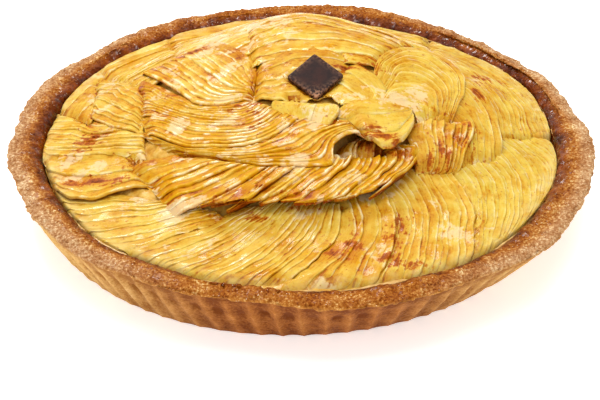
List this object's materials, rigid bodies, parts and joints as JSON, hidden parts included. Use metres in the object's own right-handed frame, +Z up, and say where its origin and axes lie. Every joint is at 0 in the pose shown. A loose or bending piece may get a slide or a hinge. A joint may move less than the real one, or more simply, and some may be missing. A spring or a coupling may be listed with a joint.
{
  "type": "apple tart",
  "caption": "Whole baked apple tart: round fluted shortcrust shell with a rough, uneven rim, heaped with fans of thin glazed apple slices and a small chocolate plaque.",
  "frame": {"origin": "centre of the tart's bounding box, in the plane of the flat base", "axes": "+Z up through the heap, towards the top; +X to the right and +Y away from the viewer of the picture"},
  "size_m": [0.2566, 0.2702, 0.0637],
  "materials": {
    "crust": "baked shortcrust, granular golden to dark brown, darker and slightly glazed inside the rim",
    "cooked_apple": "soft cooked apple, amber, wet with glaze",
    "apple_slices": "thin baked apple slices, pale cream to warm yellow with toasted brown edges, under a clear glossy glaze",
    "chocolate": "dark chocolate, satin, bare of print"
  },
  "bodies": {
    "root": {"crust": "crust", "apple_bed": "cooked_apple", "apple_petals_flap": "apple_slices", "apple_petals_scallop": "apple_slices", "apple_petals_curl": "apple_slices", "apple_petals_pale": "apple_slices", "apple_fan_shell": "apple_slices", "apple_fan_plateau": "apple_slices", "apple_fan_top": "apple_slices", "apple_fan_bowl": "apple_slices", "apple_fan_feathers_high": "apple_slices", "apple_fan_crest": "apple_slices", "apple_fan_feathers_low": "apple_slices", "apple_fan_ruffle": "apple_slices", "apple_slices_cave": "apple_slices", "apple_fan_cliff": "apple_slices", "apple_fan_right_petals": "apple_slices", "apple_fan_stack": "apple_slices", "apple_fan_back_slope": "apple_slices", "apple_fan_back_left": "apple_slices", "apple_fan_right_rim": "apple_slices", "apple_fan_back": "apple_slices", "apple_petals_left_back": "apple_slices", "apple_petals_left_cups": "apple_slices", "apple_fan_left": "apple_slices", "apple_fan_front": "apple_slices", "apple_fan_front_broad": "apple_slices", "apple_fan_front_left": "apple_slices", "apple_fan_front_right": "apple_slices", "apple_fan_right": "apple_slices", "chocolate_plaque": "chocolate"}
  },
  "joints": []
}
